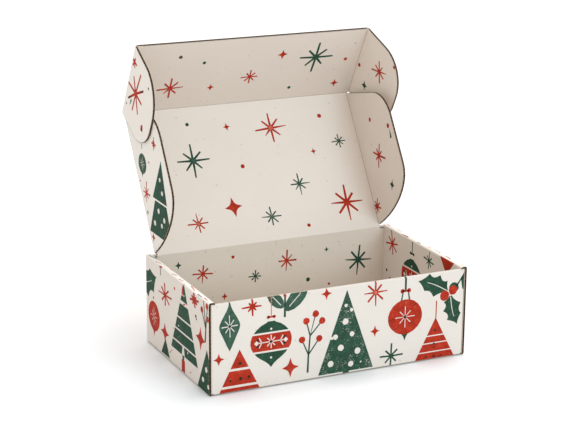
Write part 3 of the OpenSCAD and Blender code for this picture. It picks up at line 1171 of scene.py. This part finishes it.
def print_left_wall():
    sheet = new_sheet()
    holly(sheet, spot(-84.3, 48.8, turn=-69), 43.0, 1.08)
    stroke(sheet, "dark", (-34.6, 68.8), (-34.6, 75.0), 1.0)
    stroke(sheet, "red", (-37.0, 75.6), (-31.8, 76.4), 1.4)
    burst(sheet, "red", spot(-24.6, 54.7, turn=4, wide=1.4), 10.5, 8.5, tip=1.9, seed=12)
    dot(sheet, "red", spot(-3.6, 67.0), 1.3, 3)
    ball(sheet, spot(-50.6, 28.2, 0.86, wide=0.96), "red", "red")
    dot(sheet, "red", spot(-51.4, 44.2), 1.2, 2)
    four_point(sheet, "red", spot(-26.0, 21.8), 8.4, 1.1)
    tree(sheet, "green", spot(-24.8, 2.4), 19.0, 14.8)
    rungs = [(8.3, 1.5), (19.2, 1.5), (30.4, 1.5), (44.6, 3.2)]
    tree(sheet, "green", spot(16.6, 15.4), 57.0, 62.0, rungs)
    tree(sheet, "red", spot(13.9, 66.2), 4.6, 10.4)
    places = [(13.0, 66.8, 0.9), (17.0, 67.0, 0.9), (24.0, 21.0, 0.9), (5.0, 38.0, 0.8)]
    dots(sheet, "white", places)
    stroke(sheet, "red", (14.4, 58.8), (19.4, 60.6), 1.0)
    stroke(sheet, "white", (14.4, 15.6), (14.4, 23.4), 6.4, 2.4)
    stroke(sheet, "red", (14.4, 1.6), (14.4, 11.6), 6.8)
    stroke(sheet, "green", (14.4, 11.4), (14.4, 15.6), 3.6)
    burst(sheet, "red", spot(38.8, 70.4, turn=10, wide=1.5), 6.4, 4.8, core=0.42, tip=1.8, seed=3)
    dot(sheet, "dark", spot(41.6, 58.0), 1.3, 5)
    dot(sheet, "green", spot(42.8, 56.0), 1.0, 6)
    stroke(sheet, "green", (60.6, 43.0), (62.0, 54.0), 2.4, 2.0)
    for end in ((54.6, 66.0), (57.6, 76.0), (65.0, 72.0)):
        stroke(sheet, "green", (62.0, 54.0), end, 1.7, 1.3)
    dots(sheet, "red", ((54.2, 67.6, 2.7), (64.4, 73.2, 2.7), (65.4, 63.0, 2.7)))
    four_point(sheet, "red", spot(51.0, 42.4), 9.8, 1.0)
    tree(sheet, "green", spot(64.0, 0.2), 40.0, 37.4)
    dots(sheet, "white", ((62.6, 20.4, 2.3), (55.8, 10.2, 2.2), (66.4, 7.4, 2.0)))
    places = [(-14.0, 9.0, 0.9), (-11.0, 11.4, 0.7), (30.0, 6.6, 0.8), (-7.0, 32.0, 0.7)]
    dots(sheet, "red", places)
    print_wall_top(sheet, 21)
    kinds = [("tree", 18), ("bauble", 17), ("ball", 15)]
    outer_pattern(sheet, (-62, 62, 86.0, 150.0), 31, kinds=kinds)
    lay_side("left", sheet)


def print_right_wall():
    sheet = new_sheet()
    outer_pattern(sheet, (-66, 66, 4.0, 70.0), 17)
    print_wall_top(sheet, 8)
    far, over = SIDE_UNROLLED, 180.0
    burst(sheet, "red", spot(49.8, far - 63.6, turn=over + 8), 11.4, 9.4, seed=15)
    hanger(sheet, "green", spot(14.1, far - 64.6, turn=over), 11.0, 1.2, "dark")
    bauble(sheet, spot(14.1, far - 42.6, turn=over))
    burst(sheet, "green", spot(-15.0, far - 66.6, turn=over - 6), 8.6, 6.0, seed=11)
    tree(sheet, "red", spot(-44.6, far - 76.6), 23.0, 13.6)
    dot(sheet, "dark", spot(59.0, far - 36.6), 1.4, 4)
    dot(sheet, "dark", spot(53.0, far - 31.0), 1.0, 5)
    four_point(sheet, "red", spot(40.0, far - 22.0), 6.0)
    tree(sheet, "green", spot(-40.0, far - 6.0, turn=over), 32.0, 46.0, trunk=4.5)
    burst(sheet, "red", spot(-14.0, far - 18.0), 9.0, 7.0, seed=16)
    lay_side("right", sheet)


def print_wall_top(sheet, seed):
    """Ends of shapes that run over the top of a wall."""
    pick = random.Random(seed)
    top = HEIGHT - BOARD + 1.0
    for count in range(8):
        across = -61 + count * 17 + pick.uniform(-5, 5)
        ink = "red" if pick.random() < 0.5 else pick.choice(("rose", "rose", "sage"))
        at = spot(across, top + pick.uniform(0.6, 4.4), turn=pick.uniform(-16, 16))
        long = pick.uniform(4.0, 12.0)
        wide, end_wide = pick.uniform(0.6, 1.2), pick.uniform(0.3, 0.8)
        stroke(sheet, ink, (0, 0), (long, 0), wide, end_wide, at)


def lay_side(side, sheet):
    outline = box_outline(-HALF_DEPTH, HALF_DEPTH, FILM_FOOT, SIDE_UNROLLED - 4.0)
    cuts = fold_cuts(HEIGHT - BOARD, SIDE_STRIP)
    face = side_wall_face(side)
    lay_print(f"print_{side}_wall", sheet, face, outline, "tray", cuts)


# Back wall, floor, underside and inner front ply


def print_back_wall():
    sheet = new_sheet()
    outer_pattern(sheet, (-108, 108, 3, 72), 5)
    plane = plane_at(Y_AXIS * HALF_DEPTH * MM, -X_AXIS, Z_AXIS)
    outline = box_outline(-CORNER_X, CORNER_X, BOARD, HEIGHT - 2 * BOARD)
    lay_flat("print_back_wall", sheet, plane, outline)

    sheet = new_sheet()
    inside = [("star", "green", -86.7, 64.0, 3.6), ("burst", "red", -64.4, 53.7, 9.0)]
    inside += [("star", "red", -44.3, 30.6, 3.4), ("dot", "red", -36.5, 65.2, 1.5)]
    inside += [("burst", "green", -15.4, 45.1, 6.2), ("burst", "red", 14.4, 55.4, 9.4)]
    inside += [("dot", "green", 35.2, 35.4, 1.9), ("star", "green", 52.9, 60.8, 2.6)]
    inside += [("dot", "red", 55.8, 28.8, 1.2), ("burst", "green", 84.4, 47.4, 14.2)]
    inside += [("dot", "dark", -75.0, 24.0, 1.2), ("burst", "red", 60.0, 16.0, 8.0)]
    inside += [("star", "red", 12.0, 20.0, 5.0), ("burst", "green", -30.0, 12.0, 8.0)]
    inside += [("dot", "green", -92.0, 30.0, 1.6)]
    draw_listed(sheet, inside)
    plane = plane_at(Y_AXIS * BACK_INSIDE_Y * MM, X_AXIS, Z_AXIS)
    outline = box_outline(-INSIDE_X, INSIDE_X, BOARD, HEIGHT - BOARD)
    lay_flat("print_back_inside", sheet, plane, outline)


def print_floor():
    half = INSIDE_X - FLOOR_INSET
    sheet = new_sheet()
    inner_pattern(sheet, (-106, 106, -60, 62), 3)
    plane = plane_at(Z_AXIS * BOARD * MM, X_AXIS, Y_AXIS)
    outline = box_outline(-half, half, -FRONT_INSIDE_Y, BACK_INSIDE_Y)
    lay_flat("print_inside_floor", sheet, plane, outline)

    sheet = new_sheet()
    outer_pattern(sheet, (-104, 104, -62, 62), 23, kinds=OUTER_KINDS * 2)
    plane = plane_at(Vector((0, 0, 0)), X_AXIS, -Y_AXIS)
    outline = box_outline(-half, half, -BACK_INSIDE_Y, BACK_INSIDE_Y)
    lay_flat("print_underside", sheet, plane, outline)

    sheet = new_sheet()
    outer_pattern(sheet, (-104, 104, 4, 70), 44, turn=180.0)
    plane = plane_at(-Y_AXIS * FRONT_INSIDE_Y * MM, -X_AXIS, Z_AXIS)
    outline = box_outline(-INSIDE_X, INSIDE_X, BOARD + 2, FRONT_TOP - BOARD)
    lay_flat("print_front_inside", sheet, plane, outline)


# Lid and its flaps


def print_lid():
    sheet = new_sheet()
    inside = [("dot", "green", -53.2, 112.5, 1.6), ("star", "red", -17.4, 106.9, 3.7)]
    inside += [("burst", "rose", 23.8, 101.8, 14.4), ("dot", "red", 73.2, 108.6, 2.0)]
    inside += [("burst", "sage", 86.3, 83.3, 7.2), ("star", "red", 59.3, 76.3, 3.1)]
    inside += [("burst", "sage", -55.1, 79.2, 15.2), ("dot", "red", -10.8, 69.5, 2.0)]
    inside += [("burst", "sage", 38.3, 48.0, 9.8), ("burst", "red", 79.5, 26.2, 17.0)]
    inside += [("star", "red", -27.8, 33.9, 9.2), ("burst", "rose", -62.9, 22.9, 9.4)]
    inside += [("burst", "sage", 5.3, 21.4, 9.3), ("dot", "red", 38.1, 9.6, 1.7)]
    inside += [("dot", "green", -88.0, 50.0, 1.5)]
    draw_listed(sheet, inside, 4.0)
    plane = plane_at(LID_CREASE, X_AXIS, UP_LID)
    top = LID_LENGTH - CREASE_INSET
    outline = box_outline(-LID_HALF, LID_HALF, CREASE_INSET, top)
    lay_flat("print_lid_inside", sheet, plane, outline, "lid")

    sheet = new_sheet()
    outer_pattern(sheet, (-100, 100, 6, 124), 12, turn=180.0, kinds=OUTER_KINDS * 2)
    plane = plane_at(LID_CREASE - OUT_OF_LID * BOARD * MM, -X_AXIS, UP_LID)
    outline = box_outline(-LID_HALF, LID_HALF, BOARD + CREASE_INSET, top)
    lay_flat("print_lid_outside", sheet, plane, outline, "lid")


def print_tuck_flap():
    outline = box_outline(-TUCK_HALF, TUCK_HALF, CREASE_INSET, TUCK_LENGTH)
    free_edge = [(TUCK_HALF, TUCK_LENGTH), (-TUCK_HALF, TUCK_LENGTH)]
    sheet = new_sheet()
    inside = [("dot", "green", -66.0, 57.4, 1.7), ("dot", "green", -42.8, 49.0, 1.6)]
    inside += [("burst", "red", -69.7, 23.3, 11.6), ("star", "red", -31.7, 20.5, 3.8)]
    inside += [("burst", "red", 3.8, 28.9, 8.4), ("star", "red", 30.3, 51.2, 5.4)]
    inside += [("burst", "green", 63.6, 45.0, 16.2), ("dot", "red", 94.1, 40.1, 1.8)]
    inside += [("dot", "green", 45.3, 12.2, 1.6), ("star", "red", 89.9, 12.9, 4.4)]
    inside += [("dot", "dark", 99.4, 57.5, 0.5)]
    draw_listed(sheet, inside, 3.0)
    dot(sheet, "red", spot(-64.9, 56.5), 0.8, 3)
    dash_cut_edge(sheet, free_edge)
    plane = plane_at(TUCK_CREASE, X_AXIS, UP_TUCK)
    lay_flat("print_tuck_inside", sheet, plane, outline, "tuck_flap")

    sheet = new_sheet()
    outer_pattern(sheet, (-100, 100, 5, 68), 29, turn=180.0)
    dash_cut_edge(sheet, free_edge)
    plane = plane_at(TUCK_CREASE - OUT_OF_TUCK * BOARD * MM, -X_AXIS, UP_TUCK)
    lay_flat("print_tuck_outside", sheet, plane, outline, "tuck_flap")


def lay_ear(side, outer, sheet):
    """Lays the print of an ear, whose reach is to the right of it or to the left."""
    across = ear_reach_way(side)
    faces_in = (across.cross(UP_TUCK) - ear_inner_way(side)).length < 0.01
    if faces_in == outer:
        across = -across
    lift = ear_inner_way(side) * (-BOARD * MM if outer else 0.0)
    plane = plane_at(ear_crease(side) + lift, across, UP_TUCK)
    reaches_right = across.dot(ear_reach_way(side)) > 0
    lay_flap("ear", side, outer, sheet, plane, reaches_right, ear_outline(), f"tuck_ear_{side}")


def lay_dust(side, outer, sheet):
    """Lays the print of a dust flap, with its reach to the right or to the left."""
    inner = -X_AXIS * SIDE_SIGN[side]
    across = UP_LID.cross(-inner if outer else inner)
    lift = inner * (-BOARD * MM if outer else 0.0)
    plane = plane_at(dust_crease(side) + lift, across, UP_LID)
    reaches_right = across.dot(OUT_OF_LID) > 0
    lay_flap("dust", side, outer, sheet, plane, reaches_right, dust_outline(), f"dust_flap_{side}")


def lay_flap(kind, side, outer, sheet, plane, reaches_right, outline, body):
    if not reaches_right:
        outline = [(-x, y) for x, y in reversed(outline)]
    dash_cut_edge(sheet, outline)
    name = f"print_{kind}_{side}_{'outside' if outer else 'inside'}"
    lay_flat(name, sheet, plane, outline, body, ROUND_INSET)


def print_hidden(lay, area, seed, kinds, turn=0.0):
    """Inside of the left flap and outside of the right one of a pair, which the
    photo hides."""
    sheet = new_sheet()
    inner_pattern(sheet, area, seed)
    lay("left", False, sheet)
    sheet = new_sheet()
    outer_pattern(sheet, area, seed + 1, turn, kinds)
    lay("right", True, sheet)


def print_ears():
    sheet = new_sheet()
    ends = [(5.8, 0.6), (0.5, 4.2), (-4.4, -0.3), (-2.2, -5.4), (3.0, -4.2)]
    star_of(sheet, "red", spot(4.4, 60.2), ends, 2.0, 1.8)
    middle = spot(18.5, 37.5)
    ends = [(13.4, 13.9), (2.6, 22.5), (-10.0, 10.8), (-17.6, -2.1)]
    ends += [(-12.6, -15.1), (-0.5, -18.6), (11.3, -13.3), (15.1, 0.7)]
    star_of(sheet, "red", middle, ends, 3.2, 2.0)
    for end in (ends[0], ends[4]):
        stroke(sheet, "dark", [part * 0.62 for part in end], end, 1.0, 1.6, middle)
    dot(sheet, "dark", spot(39.9, 61.0), 1.2, 3)
    stroke(sheet, "green", (0, -3.0), (0, 3.2), 0.9, 2.4, spot(12.0, 23.0, turn=-6))
    dot(sheet, "dark", spot(4.6, 15.4), 0.9, 5)
    low = spot(42.3, 20.4)
    field(sheet["red"], [(2.6, -0.6), (0.8, 3.8), (-2.6, 0.6), (-0.8, -3.8)], low)
    stroke(sheet, "dark", (-0.6, -0.4), (2.2, -2.0), 2.4, 2.4, low)
    lay_ear("left", True, sheet)

    sheet = new_sheet()
    burst(sheet, "red", spot(29.8, 47.6, turn=24), 10.8, 8.2, seed=22)
    four_point(sheet, "green", spot(17.1, 21.7, turn=20), 4.6)
    dot(sheet, "red", spot(3.4, 34.5), 1.8, 2)
    dot(sheet, "red", spot(45.4, 65.0), 1.6, 7)
    dot(sheet, "green", spot(44.0, 22.0), 1.4, 9)
    lay_ear("right", False, sheet)

    print_hidden(lay_ear, (-50, -6, 8, 66), 51, [("bauble", 17), ("tree", 14)])


def print_dust_flaps():
    upright = -33.0
    sheet = new_sheet()
    stroke(sheet, "green", (22.6, 87.4), (29.6, 98.2), 0.9)
    ball(sheet, spot(16.6, 76.4, 0.58, upright), "sage", "sage")
    burst(sheet, "red", spot(51.6, 81.0, turn=upright), 6.0, 3.6, core=0.32, tip=1.1, seed=31)
    burst(sheet, "red", spot(11.5, 52.0, turn=upright), 9.6, 6.8, seed=32)
    tall_tree = spot(23.0, 8.0, turn=upright)
    field(sheet["green"], [(-19, 31), (13, 31), (0, 66)], tall_tree)
    field(sheet["green"], [(-26, 0), (26, 0), (12, 29.5), (-14, 29.5)], tall_tree)
    places = [(-2.7, 49.5, 1.9), (2.3, 39.2, 2.1), (-6, 22, 2.3), (-14.6, 9.6, 2.4)]
    dots(sheet, "white", places + [(6.8, 17.1, 2.3), (1.2, 11.1, 2.0)], tall_tree)
    four_point(sheet, "green", spot(4.6, 37.0, turn=upright), 2.6)
    four_point(sheet, "red", spot(5.4, 14.6, turn=upright), 4.4)
    dot(sheet, "red", spot(3.0, 66.0), 0.9, 4)
    dot(sheet, "red", spot(32.0, 72.0), 1.0, 5)
    burst(sheet, "red", spot(24.0, 112.0, turn=upright), 8.0, 5.4, core=0.2, tip=1.2, seed=33)
    lay_dust("left", True, sheet)

    sheet = new_sheet()
    dot(sheet, "red", spot(30.7, 90.2), 2.0, 1)
    field(sheet["green"], [(58.2, 62.4), (61.4, 62.0), (61.4, 70.6)])
    dot(sheet, "red", spot(59.8, 73.4), 2.2, 3)
    burst(sheet, "red", spot(30.9, 56.4, turn=upright), 12.4, 7.0, seed=34)
    four_point(sheet, "green", spot(41.0, 25.4, turn=upright), 5.2, 0.8)
    burst(sheet, "red", spot(4.6, 17.5, turn=upright), 7.2, 6.0, core=0.3, seed=35)
    lay_dust("right", False, sheet)

    kinds = [("striped_tree", 24), ("bauble", 18), ("ball", 14)]
    print_hidden(lay_dust, (-58, -8, 24, 104), 61, kinds, -upright)


print_front_wall()
print_left_wall()
print_right_wall()
print_back_wall()
print_floor()
print_lid()
print_tuck_flap()
print_ears()
print_dust_flaps()

# Folded liner round the outer side of each crease, in a darker liner as painted shade


def crease_skin(
    name, pivot, axis, arm, degrees, run, radius=BOARD, dent=0.0, lap=3.0
):
    """Rounded fold that fills the open side of a crease: a wedge spun about the
    crease, with the score line pressed into its middle."""
    axis = axis.normalized()
    first = turned(arm, axis, -lap)
    sweep = math.radians(degrees + 2 * lap)
    wedge = bmesh.new()
    inner, outer = 0.08 * MM, (radius - 0.015) * MM
    corners = []
    for reach, along in ((inner, run[0]), (outer, run[0]), (outer, run[1]), (inner, run[1])):
        corners.append(wedge.verts.new(pivot + first * reach + axis * along * MM))
    wedge.faces.new(corners)
    bmesh.ops.spin(wedge, geom=wedge.faces[:], axis=axis, cent=pivot, angle=sweep, steps=10)
    bmesh.ops.recalc_face_normals(wedge, faces=wedge.faces[:])
    for corner in wedge.verts:
        arm_here = corner.co - pivot
        arm_here -= axis * arm_here.dot(axis)
        if arm_here.length > outer * 0.9:
            share = arm_here.angle(first) / sweep
            pressed = dent * MM * math.sin(math.pi * share) ** 2
            corner.co -= arm_here.normalized() * pressed
    made = new_piece(name, wedge, [CREASE_SHADE_PAPER])
    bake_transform(made)
    return made


wall_edge = (Y_AXIS - Z_AXIS).normalized()
lid_edge = (UP_LID - OUT_OF_LID).normalized()
lid_groove = math.degrees(wall_edge.angle(lid_edge))
crease_skin(
    "crease_lid", LID_CREASE, X_AXIS, wall_edge, lid_groove,
    (-INSIDE_X - 0.3, INSIDE_X + 0.3), BOARD * math.sqrt(2), 0.35,
)
crease_skin(
    "crease_tuck", TUCK_CREASE, X_AXIS, -OUT_OF_LID, TUCK_FOLD,
    (-LID_HALF - 1.2, LID_HALF + 1.2), dent=0.12,
)
for side in SIDES:
    along = -UP_TUCK * SIDE_SIGN[side]
    run = (RELIEF, TUCK_LENGTH) if side == "left" else (-TUCK_LENGTH, -RELIEF)
    crease_skin(
        f"crease_ear_{side}", ear_crease(side), along,
        -OUT_OF_TUCK, EAR_FOLD[side], run, dent=0.12,
    )
    along = -UP_LID * SIDE_SIGN[side]
    run = (BOARD + RELIEF, DUST_END) if side == "left" else (-DUST_END, -BOARD - RELIEF)
    crease_skin(
        f"crease_dust_{side}", dust_crease(side), along,
        turned(-OUT_OF_LID, along, 66.0), 22.0, run, BOARD - 0.06, lap=1.0,
    )

# Floor, light and camera

FLOOR_HALF = 20.0
FLOOR_DROP = 0.0003


def floor_material():
    material, t, shader, place = new_material("pale_floor", 0.2)
    drift = t.stepped(t.noise(place, 3.0, 2.0), 0.2, 0.8)
    tone = t.blended(drift, (0.93, 0.93, 0.93, 1), (0.96, 0.96, 0.96, 1))
    t.put_all(shader, Base_Color=tone, Roughness=0.9)
    return material


def lay_floor():
    sheet = bmesh.new()
    bmesh.ops.create_grid(sheet, x_segments=1, y_segments=1, size=FLOOR_HALF)
    bmesh.ops.translate(sheet, verts=sheet.verts[:], vec=(0, 0, -FLOOR_DROP))
    new_piece("studio_floor", sheet, [floor_material()])


def way_from(turn, rise):
    """Direction towards a lamp or the camera: degrees right of the front, and up."""
    turn, rise = math.radians(turn), math.radians(rise)
    level = math.cos(rise)
    return Vector((math.sin(turn) * level, -math.cos(turn) * level, math.sin(rise)))


SKY_COLOUR = (1.0, 0.985, 0.965, 1)
SKY_STRENGTH = 0.77

# Degrees right of the front, up and across the lamp's face; strength and colour
LAMPS = {
    "overhead_light": (130.0, 66.0, 45.0, 1.25, (1.0, 1.0, 1.0)),
    "front_light": (12.0, 20.0, 30.0, 1.12, (0.66, 0.863, 1.0)),
    "left_light": (-80.0, 35.0, 50.0, 0.20, (0.9, 0.96, 1.0)),
}


def light_the_room():
    """White room, a soft lamp overhead, a cool one before the front and a weak
    one at the left."""
    world = bpy.data.worlds.new("white_room")
    bpy.context.scene.world = world
    world.use_nodes = True
    sky = world.node_tree.nodes["Background"]
    sky.inputs["Color"].default_value = SKY_COLOUR
    sky.inputs["Strength"].default_value = SKY_STRENGTH
    for name, (turn, rise, wide, strength, color) in LAMPS.items():
        lamp = bpy.data.lights.new(name, "SUN")
        lamp.energy = strength
        lamp.angle = math.radians(wide)
        lamp.color = color
        made = bpy.data.objects.new(name, lamp)
        made.rotation_mode = "QUATERNION"
        made.rotation_quaternion = (-way_from(turn, rise)).to_track_quat("-Z", "Y")
        bpy.context.scene.collection.objects.link(made)
    bpy.context.scene.view_settings.view_transform = "Standard"


# The camera stands where the photograph's perspective puts it; focal length and
# image width are in pixels of a 573 pixel wide frame
FRAME_WIDE = 573.0
FOCAL = 1740.9
CAMERA_TURN = -25.283
CAMERA_RISE = 16.307
CAMERA_ROLL = 0.49
CAMERA_AWAY = 1.42463
CAMERA_AIM = Vector((-0.017466, 0.0, 0.118227))


def set_camera():
    lens = bpy.data.cameras.new("camera")
    lens.sensor_width = 36.0
    lens.lens = FOCAL / FRAME_WIDE * lens.sensor_width
    lens.clip_start = 0.05
    lens.clip_end = 60.0
    back = way_from(CAMERA_TURN, CAMERA_RISE)
    camera = bpy.data.objects.new("camera", lens)
    camera.location = CAMERA_AIM + back * CAMERA_AWAY
    camera.rotation_mode = "QUATERNION"
    rolled = Quaternion(back, math.radians(CAMERA_ROLL))
    camera.rotation_quaternion = rolled @ (-back).to_track_quat("-Z", "Y")
    bpy.context.scene.collection.objects.link(camera)
    bpy.context.scene.camera = camera


lay_floor()
light_the_room()
set_camera()

bpy.context.view_layer.update()
